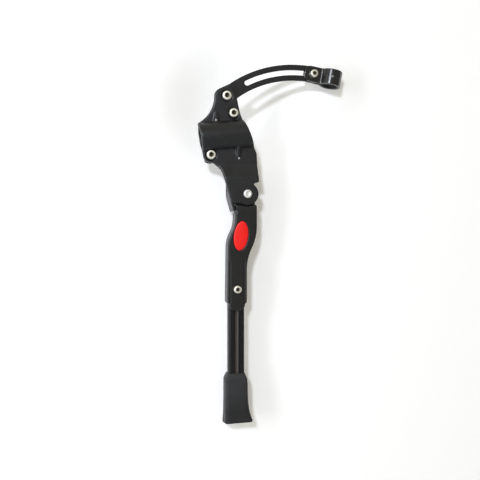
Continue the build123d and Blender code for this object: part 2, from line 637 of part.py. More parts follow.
def leg_outline():
    """Side view of the leg, from the shoulder round the ear to the open end."""
    _, corner, heading, inward = fork_edge()
    shoulder = EAR_RADIUS + SHOULDER_ROOM
    right, left = PIVOT[0] + LEG_RIGHT, PIVOT[0] + LEG_RIGHT - LEG_WIDTH
    low_right, low_left = LEG_X + LEG_LOW_WIDTH / 2, LEG_X - LEG_LOW_WIDTH / 2
    top = PIVOT[1] + FORK_CORNER_Z - 2 * SHOULDER_ROOM
    ledge = along(corner, heading, STOP_REACH)[1] - SHOULDER_ROOM
    stop = along(corner, inward, STOP_WALL + STOP_ROOM)
    stop_high, stop_low = ((stop[0] + tan(radians(inward)) * (stop[1] - z), z) for z in (top, ledge))
    shelf = (left, ledge - SHELF_DROP)
    ledge_right = (right, PIVOT[1] - SHOULDER_DROP)
    ear_right = (PIVOT[0] + sqrt(shoulder ** 2 - SHOULDER_DROP ** 2), ledge_right[1])
    ear_left = (PIVOT[0] - sqrt(shoulder ** 2 - (PIVOT[1] - top) ** 2), top)
    left_bend, right_bend = (left, PIVOT[1] - BEND_TOP), (right, PIVOT[1] - BEND_TOP - BEND_STEP)
    left_straight = (low_left + LEG_TAPER, left_bend[1] - BEND_LENGTH_LEFT)
    right_straight = (low_right, right_bend[1] - BEND_LENGTH_RIGHT)
    face = make_face([
        ThreePointArc(ear_right, along(PIVOT, DOWN, shoulder), ear_left),
        Polyline(ear_left, stop_high, stop_low, shelf, left_bend),
        *s_bend(left_bend, left_straight),
        Polyline(left_straight, (low_left, LEG_END), (low_right, LEG_END), right_straight),
        *s_bend(right_bend, right_straight),
        Polyline(right_bend, ledge_right, ear_right)])
    corners = (
        (stop_high, LEG_CORNER), (stop_low, SHELF_CREASE), (shelf, SHELF_CORNER), (ledge_right, LEG_CORNER))
    for at, radius in corners:
        face = rounded_corner(face, at, radius)
    return chamfer(face.vertices().group_by(Axis.Y)[0], LEG_END_CHAMFER)


def upper_leg():
    """The leg: a knuckle between the fork's walls, an S-bent body, and a socket for the rod."""
    body = plate(leg_outline(), -LEG_FRONT, LEG_BACK)
    body = fillet(body.faces().filter_by(Plane.XZ).edges(), LEG_ROUNDING)
    shank = Pos(0, -KNUCKLE_RADIUS) * Rectangle(2 * KNUCKLE_RADIUS, 2 * KNUCKLE_RADIUS)
    knuckle = Circle(KNUCKLE_RADIUS) + shank
    body += plate(Pos(*PIVOT) * knuckle, -KNUCKLE_WIDTH / 2, KNUCKLE_WIDTH / 2)
    tongue = Pos(LEG_X, LEG_END) * Ellipse(TONGUE_HALF_WIDTH, TONGUE_DROP)
    body += plate(tongue, -LEG_FRONT, -ROD_DEPTH / 2 - ROD_PLAY)
    socket_top = LEG_END + ROD_INSERTION + ROD_RETRACT + SOCKET_ROOM
    socket = RectangleRounded(ROD_WIDTH + 2 * ROD_PLAY, ROD_DEPTH + 2 * ROD_PLAY, ROD_ROUNDING)
    body -= Pos(LEG_X, 0, socket_top) * extrude(socket, amount=-FAR)
    for side in (-1, 1):
        middle = LEG_X + side * FLUTE_SPACING / 2
        front = -LEG_FRONT + FLUTE_DEPTH - FLUTE_RADIUS
        body -= Pos(middle, front, LEG_END + FLUTE_LENGTH / 2) * Cylinder(FLUTE_RADIUS, FLUTE_LENGTH)
        body -= Pos(middle, front, LEG_END + FLUTE_LENGTH) * Sphere(FLUTE_RADIUS)
    body -= plate(badge_outline(BADGE_ROOM), -2 * LEG_FRONT, -LEG_FRONT + BADGE_RECESS)
    body -= disc(PIVOT, RIVET_DIAMETER / 2 + THREAD_PLAY, -FAR, FAR)
    body -= disc(LOCK_SCREW, SCREW_DIAMETER / 2, -FAR, 0)
    body -= disc(LOCK_SCREW, SCREW_HEAD_DIAMETER / 2 + RECESS_ROOM, -FAR, -LEG_FRONT + SCREW_RECESS)
    return body - leg_post()


def badge_outline(room):
    """The oval of the badge, or of its recess with some room round it."""
    oval = Ellipse(BADGE_WIDTH / 2 + room, BADGE_LENGTH / 2 + room)
    return Pos(BADGE_X, PIVOT[1] - BADGE_DROP) * Rot(0, 0, -BADGE_LEAN) * oval


def badge():
    """The plain oval inlay."""
    back = -LEG_FRONT + BADGE_RECESS
    return plate(badge_outline(0), back - BADGE_THICKNESS, back)


def rod_section(length, top):
    """A length of the rod's rounded section that hangs from a height."""
    return Pos(LEG_X, 0, top) * extrude(RectangleRounded(ROD_WIDTH, ROD_DEPTH, ROD_ROUNDING), amount=-length)


def lower_rod():
    """The sliding rod, with a closed groove that the lock screw's point runs in."""
    top = LOCK_SCREW[1] + ROD_EXTEND + SCREW_POINT_DIAMETER / 2 + ROD_PLAY
    groove = Pos(LEG_X, GROOVE_Y, (top + FOOT_TOP) / 2) * Cylinder(GROOVE_RADIUS, top - FOOT_TOP)
    return rod_section(ROD_LENGTH, ROD_TOP) - groove


def lock_screw():
    """The screw that holds the rod, with a dog point in the rod's groove."""
    seat, point = -LEG_FRONT + SCREW_RECESS, SCREW_POINT_DIAMETER / 2
    radius, head, edge = SCREW_DIAMETER / 2, SCREW_HEAD_DIAMETER / 2, FASTENER_EDGE
    tip = GROOVE_Y + sqrt(GROOVE_RADIUS ** 2 - point ** 2) - ROD_PLAY
    face = -ROD_DEPTH / 2 - ROD_PLAY
    top = seat - SCREW_HEAD_HEIGHT
    screw = turned(LOCK_SCREW, [
        (0, top), (head - edge, top), (head, top + edge), (head, seat), (radius, seat), (radius, face),
        (point, face), (point, tip), (0, tip)])
    return screw - hexagon(LOCK_SCREW, SCREW_HEX, top, top + SCREW_HEAD_HEIGHT / 2)


def foot_section(height, share):
    """A rounded section of the foot, where its sides stand out by a share of the flare below the sole."""
    left, right, front, back = (share * side for side in (FOOT_HEEL, FOOT_FLARE, FOOT_TOE, FOOT_HEEL))
    width, depth = FOOT_WIDTH + left + right, FOOT_DEPTH + front + back
    middle = (LEG_X - FOOT_SHIFT + (right - left) / 2, (back - front) / 2, height)
    return Pos(*middle) * RectangleRounded(width, depth, FOOT_ROUNDING)


def foot():
    """The rubber foot: a sleeve on the rod that flares to a slanted sole."""
    sole, shoulder = FOOT_TOP - FOOT_HEIGHT, FOOT_TOP - FOOT_SHOULDER
    collar = RectangleRounded(FOOT_WIDTH - 2 * FOOT_COLLAR, FOOT_DEPTH - 2 * FOOT_COLLAR, FOOT_ROUNDING)
    sleeve = foot_section(shoulder, 0)
    waist = foot_section((shoulder + sole) / 2, FOOT_WAIST_SHARE)
    ankle = foot_section(sole + FOOT_FLARE_HEIGHT, FOOT_ANKLE_SHARE)
    below = foot_section(sole - FOOT_FLARE_HEIGHT, 1)
    boot = loft([Pos(LEG_X - FOOT_SHIFT, 0, FOOT_TOP) * collar, sleeve], ruled=True)
    boot += loft([sleeve, waist, ankle, below])
    boot = split(boot, bisect_by=Plane((LEG_X, 0, sole), z_dir=SOLE_NORMAL), keep=Keep.TOP)
    boot = fillet(boot.faces().sort_by(Axis.Z)[0].edges(), SOLE_EDGE)
    return boot - rod_section(ROD_LENGTH, ROD_TOP)


def write(parts):
    """Write each node's solids."""
    os.makedirs("parts", exist_ok=True)
    for name, part in parts.items():
        export_step(part, f"parts/{name}.step")


arm_nut_seat = ARM_BACK + WASHER_THICKNESS
hoop_bolt, hoop_washer, hoop_nut = hoop_fasteners()
write({
    "front_bracket": front_bracket(),
    "rear_jaw": rear_jaw(),
    "front_stay_pad": stay_pad(-2 * SEAT_RADIUS, -PAD_EDGE),
    "rear_stay_pad": stay_pad(PAD_EDGE, 2 * SEAT_RADIUS),
    "arm_bolt": frame_bolt(ARM_BOLT, ARM_BOLT_LENGTH),
    "arm_washer": washer(ARM_BOLT, WASHER_DIAMETER, BOLT_DIAMETER, ARM_BACK, arm_nut_seat),
    "arm_nut": nut(ARM_BOLT, NUT_FLATS, BOLT_DIAMETER, arm_nut_seat, arm_nut_seat + NUT_HEIGHT),
    "clamp_bolts": Compound([frame_bolt(at, CLAMP_BOLT_LENGTH).solid() for at in (TOP_BOLT, LOW_BOLT)]),
    "clamp_nuts": Compound([clamp_nut(at).solid() for at in (TOP_BOLT, LOW_BOLT)]),
    "support_arm": support_arm(),
    "stay_hoop": stay_hoop(),
    "hoop_liner": hoop_liner(),
    "hoop_bolt": hoop_bolt,
    "hoop_washer": hoop_washer,
    "hoop_nut": hoop_nut,
    "pivot_rivet": pivot_rivet(),
    "upper_leg": upper_leg(),
    "badge": badge(),
    "upper_spring_post": bracket_post(),
    "lower_spring_post": leg_post(),
    "leg_spring": leg_spring(),
    "lower_rod": lower_rod(),
    "lock_screw": lock_screw(),
    "foot": foot(),
})
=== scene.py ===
import bpy
from math import atan, atan2, cos, hypot, pi, radians, sin, sqrt, tau
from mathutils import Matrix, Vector


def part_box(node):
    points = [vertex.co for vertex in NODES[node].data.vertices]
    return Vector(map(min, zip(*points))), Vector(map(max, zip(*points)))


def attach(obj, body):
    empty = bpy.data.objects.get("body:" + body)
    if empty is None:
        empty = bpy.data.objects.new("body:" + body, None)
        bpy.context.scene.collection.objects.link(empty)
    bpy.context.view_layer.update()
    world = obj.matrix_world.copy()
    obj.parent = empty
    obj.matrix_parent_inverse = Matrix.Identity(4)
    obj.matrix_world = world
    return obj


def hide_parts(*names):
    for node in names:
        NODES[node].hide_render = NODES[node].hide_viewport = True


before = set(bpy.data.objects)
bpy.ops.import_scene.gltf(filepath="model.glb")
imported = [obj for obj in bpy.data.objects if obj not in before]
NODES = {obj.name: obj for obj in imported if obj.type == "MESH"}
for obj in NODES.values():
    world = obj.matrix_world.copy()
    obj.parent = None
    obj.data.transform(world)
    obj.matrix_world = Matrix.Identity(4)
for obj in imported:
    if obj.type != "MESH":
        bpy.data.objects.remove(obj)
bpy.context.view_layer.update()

# Lengths with MM are in metres, other lengths are in millimetres unless their comment says
# otherwise, and angles are in degrees.
MM = 0.001
TINY = 0.01 * MM
MERGE_GAP = 0.001 * MM

# Camera: level, a little to the left of the stand, as far off as the photograph's perspective asks
VIEW_AZIMUTH = 11.0
VIEW_TARGET = Vector((14.6, -2.8, -114.4)) * MM
VIEW_DISTANCE = 770 * MM
VIEW_WIDTH = 528 * MM

# Stage: a floor, and a white sheet close behind the stand, hollow behind the arm's foot and full
# behind the hoop. Sizes are in metres. A push starts at the sheet's corner nearest to its place,
# which lies within this share of a cell, and lift is the glow that brings a paper up to white.
SHEET_Y = 21.5 * MM
SHEET_Z = -100 * MM
SHEET_SIZE = 1.5
SHEET_CELLS = 150
SHEET_NEAREST = 0.51
SHEET_COLOUR = "#fdfdfb"
SHEET_LIFT = 0.17
HOLLOW = {"at": Vector((15, 21.5, 40)) * MM, "by": 36 * MM, "reach": 105 * MM}
SWELL = {"at": Vector((122, 21.5, 62)) * MM, "by": -8 * MM, "reach": 60 * MM}
FLOOR_Z = -420 * MM
FLOOR_SIZE = 4.0
FLOOR_COLOUR = "#bdbdba"
FLOOR_LIFT = 0.0
PAPER_ROUGHNESS = 0.9
LIFT_COLOUR = "#ffffff"

# Lamps, each with its place, its size in metres and its power in watts: a key from the upper left,
# a tall strip at the left, and a soft light behind the sheet for the stand's back
LAMPS = (
    ("key_light", Vector((-880, -2320, 740)) * MM, (0.3, 0.3), 33.0),
    ("strip_light", Vector((-1060, -760, 0)) * MM, (0.3, 1.1), 7.5),
    ("back_light", Vector((500, 1500, 60)) * MM, (2.0, 2.0), 15.0),
)
LAMP_COLOUR = "#ecf2ff"

# Room: brighter above than below
ROOM_BELOW = "#2e2c28"
ROOM_ABOVE = "#fff5d8"
ROOM_STRENGTH = 0.54

# Sockets of a colour Mix node, which go by number because its other kinds have the same names
MIX_SHARE, MIX_FIRST, MIX_SECOND, MIX_RESULT = 0, 6, 7, 2

# Powder coat: widths of its cloudy tint and of its orange peel, how far its roughness strays, and
# the strength and depth of the peel. Real peel is about 0.8 mm wide; it is drawn wider, to show.
COAT_CLOUD = 11
COAT_PEEL = 1.8
COAT_STRAY = (-0.06, 0.08)
COAT_BUMP = (0.22, 0.12 * MM)
LACQUER_ROUGHNESS = 0.14

# Painted highlights in the coat: pale spots at the tips of the bracket's two ribs, how ragged a
# spot's edge is, and the distances at which the spot is full and at which the coat is whole again
GLINT_SPOTS_AT = (Vector((-13.3, -10.1, 15.6)) * MM, Vector((12.6, -7.7, -24.8)) * MM)
GLINT_RAGGED = 2.4 * MM
GLINT_INNER = 1.9 * MM
GLINT_OUTER = 2.6 * MM
GLINT_COLOUR = "#b4b5b6"

# Anodised rod: width of its drawn lines and the share that stretches them along it, its roughness,
# and the strength and depth of the lines. Real lines are finer; they are drawn wider, to show.
ROD_LINE = 0.9
ROD_STRETCH = 0.012
ROD_COLOURS = ("#0e0e10", "#1e1d20")
ROD_ROUGHNESS = (0.26, 0.42)
ROD_BUMP = (0.12, 0.05 * MM)

# Painted highlight in the rod's groove, a paler brownish streak: its middle, the distances from
# there at which it is full and at which it ends, and the most that it shows
GLEAM_X = 10.25 * MM
GLEAM_INNER = 1.2 * MM
GLEAM_OUTER = 2.6 * MM
GLEAM_SHARE = 0.9
GLEAM_COLOUR = "#6a625c"

# Plated steel: widths of its tarnish and of its turning marks, how far its roughness strays, and
# the strength and depth of the marks. Real marks are finer; they are drawn wider, to show.
STEEL_CLOUD = 2.6
STEEL_GRAIN = 0.35
STEEL_STRAY = (-0.08, 0.1)
STEEL_BUMP = (0.08, 0.03 * MM)

# Rubber: widths of its bloom and of its mould's grain, its roughness, the strength and depth of the
# grain, and the heights between which the foot is painted darker towards its sole, as painted
# shade. Real grain is about 0.2 mm wide; it is drawn wider, to show.
RUBBER_BLOOM = 9
RUBBER_GRAIN = 0.7
RUBBER_COLOURS = ("#1c1d1f", "#2a2b2d")
RUBBER_ROUGHNESS = (0.62, 0.8)
RUBBER_BUMP = (0.3, 0.08 * MM)
FOOT_SHADE_COLOUR = "#0b0b0d"
FOOT_SHADE_HEIGHTS = (-279 * MM, -303 * MM)

# Red enamel: width of its flow, and its roughness
ENAMEL_FLOW = 7
ENAMEL_COLOURS = ("#f0130f", "#fb1c17")
ENAMEL_ROUGHNESS = (0.38, 0.5)

# Shading: the sharpest bend that is shaded smooth on turned metal, on wire and on eased pieces
CRISP = 35
ROUND = 60
SOFT = 80

# Share of the way to its neighbours' middle that a smoothing pass moves a corner
SMOOTHING = 0.5

# Socket head screws: the sizes of two threads, and the forms that all of them share. A socket's
# depth is a share of the head's height, and a thread's end keeps a share of its width. The lock
# screw's plain point starts a little play before the rod.
M6 = {"thread": 6.0, "pitch": 1.0, "head": 10.0, "height": 6.0, "flats": 5.0}
M5 = {"thread": 5.0, "pitch": 0.8, "head": 8.5, "height": 5.0, "flats": 4.0}
HEAD_SIDES = 60
HEAD_EDGE = 1.1
HEAD_EDGE_STEPS = 4
KNURL_GAP = 0.08
KNURL_DEPTH = 0.14
SOCKET_SIDES = 6
SOCKET_SHARE = 0.52
SOCKET_POINT = 0.8
FINE_EDGE = 0.1
FINE_EDGE_STEPS = 2
THREAD_SIDES = 24
THREAD_CUTS = 99
THREAD_DEPTH = 0.55
THREAD_END = 0.8
POINT_RADIUS = 1.5
POINT_PLAY = 0.2

# Pivot rivet: half widths and heights of its head above the fork's wall, then its shank and tail
RIVET_HEAD = [
    (0, 1.28), (2.0, 1.3), (2.35, 1.38), (2.6, 1.56), (2.9, 1.6), (3.7, 1.54), (4.3, 1.3),
    (4.66, 0.9), (4.8, 0.4), (4.8, 0)]
RIVET_HEIGHT = 1.6
RIVET_SHANK = 3.5
RIVET_TAIL = 5.0
RIVET_TAIL_DEPTH = 1.5

# Oval inlay: its lean, its half sizes, and half widths and heights of its low dome
OVAL_LEAN = 7.5
OVAL_SIDES = 96
OVAL_HALF_WIDTH = 8.0
OVAL_HALF_LENGTH = 16.15
OVAL_DOME = [
    (0, 1.48), (3.0, 1.45), (5.0, 1.38), (6.4, 1.28), (7.2, 1.18), (7.65, 1.04), (7.9, 0.84),
    (8.0, 0.6), (8.0, 0), (0, 0)]

# Stud that holds the hoop's sleeve: its place on the barrel, and half widths and heights of it
STUD_AT = Vector((118.3, -11.5, 68.3)) * MM
STUD_DOME = [
    (0, 0.8), (0.5, 0.76), (0.95, 0.62), (1.3, 0.4), (1.5, 0.15), (1.55, 0), (1.55, -1.2),
    (0, -1.2)]

# Leg spring: half the wire's thickness, the coil at the wire's middle, and the hooks at its ends
WIRE = 0.7
WIRE_SIDES = 12
COIL_RADIUS = 3.1
COIL_TURNS = 15
COIL_PITCH = 1.43
COIL_STEPS = 28
HOOK_BEND = 1.3
HOOK_BEND_STEPS = 6
HOOK_RADIUS = 2.7
HOOK_TURN = 285
HOOK_STEPS = 24

# Foot: its cell and smoothing passes, the middle and tilt of its sole, and the grooves across it
FOOT_CELL = 0.4
FOOT_PASSES = 8
SOLE_AT = Vector((10.25, 0, -315.4)) * MM
SOLE_TILT = (-8.0, -1.9)
GROOVES = 5
GROOVE_WIDTH = 1.8
GROOVE_DEPTH = 1.4
GROOVE_SPACING = 4.2
GROOVE_LENGTH = 60.0


def linear(colour):
    """A colour written as sRGB hex, in linear light."""
    channels = [int(colour[at:at + 2], 16) / 255 for at in (1, 3, 5)]
    return [c / 12.92 if c <= 0.04045 else ((c + 0.055) / 1.055) ** 2.4 for c in channels] + [1]


def per_mm(size):
    """The texture scale at which a pattern is about so many millimetres wide."""
    return 1 / (size * MM)


def add(tree, kind, settings=None, values=None, links=None):
    """A node of a kind, with its settings, its sockets' values and the sockets that feed it."""
    node = tree.nodes.new("ShaderNode" + kind)
    for name, value in (settings or {}).items():
        setattr(node, name, value)
    for socket, value in (values or {}).items():
        node.inputs[socket].default_value = value
    for socket, source in (links or {}).items():
        tree.links.new(source, node.inputs[socket])
    return node


def new_finish(name, **values):
    """A new material, its tree, its shader with some sockets set, and the piece's coordinates."""
    made = bpy.data.materials.new(name)
    made.use_nodes = True
    tree = made.node_tree
    shader = tree.nodes["Principled BSDF"]
    for socket, value in values.items():
        shader.inputs[socket.replace("_", " ")].default_value = value
    return made, tree, shader, add(tree, "TexCoord").outputs["Object"]


def mottled(tree, place, size, colours, roughness, detail):
    """A cloudy pattern, and the tint and the gloss that follow it from one end to the other."""
    cloud = add(tree, "TexNoise", values={"Scale": per_mm(size), "Detail": detail},
                links={"Vector": place})
    tint = add(tree, "Mix", {"data_type": "RGBA"},
               {MIX_FIRST: linear(colours[0]), MIX_SECOND: linear(colours[1])},
               {MIX_SHARE: cloud.outputs["Fac"]})
    gloss = add(tree, "MapRange", values={"To Min": roughness[0], "To Max": roughness[1]},
                links={"Value": cloud.outputs["Fac"]})
    return cloud, tint, gloss


def feed(tree, shader, tint, gloss, height=None, bump=None):
    """Let a tint, a gloss and, where there is one, a pattern's bump feed a material's shader."""
    tree.links.new(tint.outputs[MIX_RESULT], shader.inputs["Base Color"])
    tree.links.new(gloss.outputs["Result"], shader.inputs["Roughness"])
    if height:
        strength, depth = bump
        relief = add(tree, "Bump", values={"Strength": strength, "Distance": depth},
                     links={"Height": height.outputs["Fac"]})
        tree.links.new(relief.outputs["Normal"], shader.inputs["Normal"])


def powder_coat(name, colours, roughness, lacquer=0.0, painted_glints=()):
    """Powder-coated alloy: a satin skin with a cloudy tint and soft orange peel, glossy where it is
    lacquered, and with pale painted highlights at the places given."""
    made, tree, shader, place = new_finish(
        name, IOR=1.5, Coat_Weight=lacquer, Coat_Roughness=LACQUER_ROUGHNESS)
    strayed = [roughness + stray for stray in COAT_STRAY]
    _, tint, gloss = mottled(tree, place, COAT_CLOUD, colours, strayed, detail=4)
    peel = add(tree, "TexNoise", values={"Scale": per_mm(COAT_PEEL), "Detail": 2},
               links={"Vector": place})
    # Painted highlights: each spot mixes a pale colour into the coat near its place, standing in
    # for a glint of light.
    for glint in painted_glints:
        far = add(tree, "VectorMath", {"operation": "DISTANCE"}, {1: glint}, {0: place})
        ragged = add(tree, "Math", {"operation": "MULTIPLY_ADD"}, {1: GLINT_RAGGED},
                     {0: peel.outputs["Fac"], 2: far.outputs["Value"]})
        glint_share = add(tree, "MapRange", values={"From Min": GLINT_OUTER, "From Max": GLINT_INNER},
                   links={"Value": ragged.outputs["Value"]})
        tint = add(tree, "Mix", {"data_type": "RGBA"}, {MIX_SECOND: linear(GLINT_COLOUR)},
                   {MIX_SHARE: glint_share.outputs["Result"], MIX_FIRST: tint.outputs[MIX_RESULT]})
    feed(tree, shader, tint, gloss, peel, COAT_BUMP)
    return made


def anodised_aluminium():
    """Black anodised extrusion: drawn lines along it under a dark, slightly glossy oxide, and a
    painted highlight in its groove.
    """
    made, tree, shader, place = new_finish("black_anodised_aluminium", Metallic=0.35, IOR=1.5)
    drawn = add(tree, "Mapping", values={"Scale": (1, 1, ROD_STRETCH)}, links={"Vector": place})
    lines, tint, gloss = mottled(
        tree, drawn.outputs["Vector"], ROD_LINE, ROD_COLOURS, ROD_ROUGHNESS, detail=3)
    # A paler, brownish streak is painted along the groove's floor on the front, as a painted
    # highlight.
    side = add(tree, "SeparateXYZ", links={0: place})
    off = add(tree, "Math", {"operation": "SUBTRACT"}, {1: GLEAM_X}, {0: side.outputs["X"]})
    off = add(tree, "Math", {"operation": "ABSOLUTE"}, links={0: off.outputs["Value"]})
    painted_light = add(tree, "MapRange", values={
        "From Min": GLEAM_OUTER, "From Max": GLEAM_INNER, "To Max": GLEAM_SHARE},
        links={"Value": off.outputs["Value"]})
    front = add(tree, "Math", {"operation": "LESS_THAN"}, {1: 0.0}, {0: side.outputs["Y"]})
    painted_light = add(tree, "Math", {"operation": "MULTIPLY"},
                 links={0: painted_light.outputs["Result"], 1: front.outputs["Value"]})
    painted_light = add(tree, "Math", {"operation": "MULTIPLY"},
                 links={0: painted_light.outputs["Value"], 1: lines.outputs["Fac"]})
    tint = add(tree, "Mix", {"data_type": "RGBA"}, {MIX_SECOND: linear(GLEAM_COLOUR)},
               {MIX_SHARE: painted_light.outputs["Value"], MIX_FIRST: tint.outputs[MIX_RESULT]})
    feed(tree, shader, tint, gloss, lines, ROD_BUMP)
    return made


def plated_steel(name, colours, roughness):
    """Plated steel: a metal with a faint cloudy tarnish and fine turning marks."""
    made, tree, shader, place = new_finish(name, Metallic=1.0)
    strayed = [roughness + stray for stray in STEEL_STRAY]
    _, tint, gloss = mottled(tree, place, STEEL_CLOUD, colours, strayed, detail=4)
    grain = add(tree, "TexNoise", values={"Scale": per_mm(STEEL_GRAIN), "Detail": 2},
                links={"Vector": place})
    feed(tree, shader, tint, gloss, grain, STEEL_BUMP)
    return made


def moulded_rubber(name, painted_light=None):
    """Moulded black rubber: dull, a little grey with bloom, and where two heights are given,
    painted blacker from the first towards the second, as painted shade."""
    made, tree, shader, place = new_finish(name, IOR=1.52, Sheen_Weight=0.06)
    _, tint, gloss = mottled(
        tree, place, RUBBER_BLOOM, RUBBER_COLOURS, RUBBER_ROUGHNESS, detail=5)
    grain = add(tree, "TexNoise", values={"Scale": per_mm(RUBBER_GRAIN), "Detail": 3},
                links={"Vector": place})
    # Painted shade: the foot darkens towards its sole.
    if painted_light:
        height = add(tree, "SeparateXYZ", links={0: place})
        shade_share = add(tree, "MapRange", values={"From Min": painted_light[0], "From Max": painted_light[1]},
                    links={"Value": height.outputs["Z"]})
        tint = add(tree, "Mix", {"data_type": "RGBA"}, {MIX_SECOND: linear(FOOT_SHADE_COLOUR)},
                   {MIX_SHARE: shade_share.outputs["Result"], MIX_FIRST: tint.outputs[MIX_RESULT]})
    feed(tree, shader, tint, gloss, grain, RUBBER_BUMP)
    return made


def red_enamel():
    """Red enamel of the oval: an even glossy red with a hint of flow."""
    made, tree, shader, place = new_finish("red_enamel", IOR=1.45)
    _, tint, gloss = mottled(
        tree, place, ENAMEL_FLOW, ENAMEL_COLOURS, ENAMEL_ROUGHNESS, detail=2)
    feed(tree, shader, tint, gloss)
    return made


def paper(name, colour, lift):
    """Matte paper of the stage, lifted to white for the eye, and clear from behind and to light."""
    made, tree, shader, _ = new_finish(
        name, Base_Color=linear(colour), Roughness=PAPER_ROUGHNESS, Specular_IOR_Level=0.0,
        Emission_Color=linear(LIFT_COLOUR))
    path = add(tree, "LightPath")
    seen = add(tree, "Math", {"operation": "MAXIMUM"},
               links={0: path.outputs["Is Camera Ray"], 1: path.outputs["Is Glossy Ray"]})
    seen = add(tree, "Math", {"operation": "MAXIMUM"},
               links={0: seen.outputs["Value"], 1: path.outputs["Is Transmission Ray"]})
    glow = add(tree, "Math", {"operation": "MULTIPLY"}, {1: lift}, {0: seen.outputs["Value"]})
    tree.links.new(glow.outputs["Value"], shader.inputs["Emission Strength"])
    behind = add(tree, "NewGeometry")
    clear = add(tree, "Math", {"operation": "MAXIMUM"},
                links={0: behind.outputs["Backfacing"], 1: path.outputs["Is Shadow Ray"]})
    clear = add(tree, "Math", {"operation": "MAXIMUM"},
                links={0: clear.outputs["Value"], 1: path.outputs["Transparent Depth"]})
    sides = add(tree, "MixShader", links={
        0: clear.outputs["Value"], 1: shader.outputs["BSDF"],
        2: add(tree, "BsdfTransparent").outputs["BSDF"]})
    tree.links.new(sides.outputs["Shader"], tree.nodes["Material Output"].inputs["Surface"])
    return made


def alone(piece):
    """Leave edit mode, select one piece only, and make it the active one."""
    if bpy.context.mode != "OBJECT":
        bpy.ops.object.mode_set(mode="OBJECT")
    bpy.ops.object.select_all(action="DESELECT")
    piece.select_set(True)
    bpy.context.view_layer.objects.active = piece


def select(piece, kind, test):
    """Go into edit mode with those corners, edges or faces selected whose points pass a test."""
    mesh = piece.data
    alone(piece)
    bpy.ops.object.mode_set(mode="EDIT")
    bpy.ops.mesh.select_mode(type=kind)
    bpy.ops.mesh.select_all(action="DESELECT")
    bpy.ops.object.mode_set(mode="OBJECT")
    parts = {"VERT": mesh.vertices, "EDGE": mesh.edges, "FACE": mesh.polygons}[kind]
    for part in parts:
        corners = [part.index] if kind == "VERT" else part.vertices
        part.select = test([mesh.vertices[at].co for at in corners])
    bpy.ops.object.mode_set(mode="EDIT")


def select_whole(piece):
    """Go into edit mode with all of a piece selected."""
    alone(piece)
    bpy.ops.object.mode_set(mode="EDIT")
    bpy.ops.mesh.select_all(action="SELECT")


def apply(piece, kind, **settings):
    """Add a modifier with its settings, and apply it."""
    modifier = piece.modifiers.new(kind.lower(), kind)
    for name, value in settings.items():
        setattr(modifier, name, value)
    alone(piece)
    bpy.ops.object.modifier_apply(modifier=modifier.name)


def mend(piece):
    """Merge a mesh's doubled corners and turn its faces outwards."""
    select_whole(piece)
    bpy.ops.mesh.remove_doubles(threshold=MERGE_GAP)
    bpy.ops.mesh.normals_make_consistent(inside=False)
    bpy.ops.object.mode_set(mode="OBJECT")


def carve(piece, cutter):
    """Cut a piece with another, which is then thrown away."""
    apply(piece, "BOOLEAN", operation="DIFFERENCE", solver="EXACT", object=cutter)
    bpy.data.objects.remove(cutter)


def joined(pieces):
    """Some pieces as one, which keeps the first one's name."""
    alone(pieces[0])
    for piece in pieces:
        piece.select_set(True)
    bpy.ops.object.join()
    return pieces[0]


def copy_of(node, name):
    """A copy of a CAD node, its loose triangles merged."""
    piece = bpy.data.objects.new(name, NODES[node].data.copy())
    bpy.context.scene.collection.objects.link(piece)
    select_whole(piece)
    bpy.ops.mesh.remove_doubles(threshold=MERGE_GAP)
    bpy.ops.object.mode_set(mode="OBJECT")
    return piece


def ease(piece, cell, passes):
    """Ease a piece's edges, as from a worn mould: rebuild it in fine cells, then smooth it."""
    apply(piece, "REMESH", mode="VOXEL", voxel_size=cell * MM)
    apply(piece, "SMOOTH", factor=SMOOTHING, iterations=passes)


def cylinder(sides, radius, low, high):
    """An upright cylinder between two heights, to start a piece from."""
    bpy.ops.object.select_all(action="DESELECT")
    bpy.ops.mesh.primitive_cylinder_add(
        vertices=sides, radius=radius, depth=high - low, location=(0, 0, (low + high) / 2))
    bpy.ops.object.transform_apply()
    return bpy.context.object


def turned(name, profile, sides):
    """A piece turned about the upright axis, from half widths and heights in millimetres."""
    bpy.ops.object.select_all(action="DESELECT")
    bpy.ops.mesh.primitive_plane_add(size=MM)
    piece = bpy.context.object
    piece.name = name
    points = [Vector((width, 0, height)) * MM for width, height in profile]
    bpy.ops.object.mode_set(mode="EDIT")
    bpy.ops.mesh.merge(type="CENTER")
    bpy.ops.transform.translate(value=points[0])
    for last, point in zip(points, points[1:]):
        bpy.ops.mesh.extrude_vertices_move(TRANSFORM_OT_translate={"value": point - last})
    bpy.ops.mesh.select_all(action="SELECT")
    bpy.ops.mesh.spin(steps=sides, angle=tau, center=(0, 0, 0), axis=(0, 0, 1))
    bpy.ops.object.mode_set(mode="OBJECT")
    mend(piece)
    return piece


def face_front(piece, place, lean=0.0):
    """Lay an upright piece so that its top faces the front, at a place."""
    piece.rotation_euler = (pi / 2, radians(lean), 0)
    piece.location = place
    alone(piece)
    bpy.ops.object.transform_apply()


def finish(piece, body, material, smooth=CRISP):
    """Finish a piece, unless it has its finish, and set it on its body."""
    alone(piece)
    bpy.ops.object.shade_smooth_by_angle(angle=radians(smooth))
    if material:
        piece.data.materials.clear()
        piece.data.materials.append(material)
    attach(piece, body)


def fit(piece, node, body, material, smooth=CRISP):
    """Finish a piece, and let it stand for a node."""
    finish(piece, body, material, smooth)
    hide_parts(node)


def dress(material, *names):
    """Give CAD nodes a finish."""
    for name in names:
        NODES[name].data.materials.clear()
        NODES[name].data.materials.append(material)


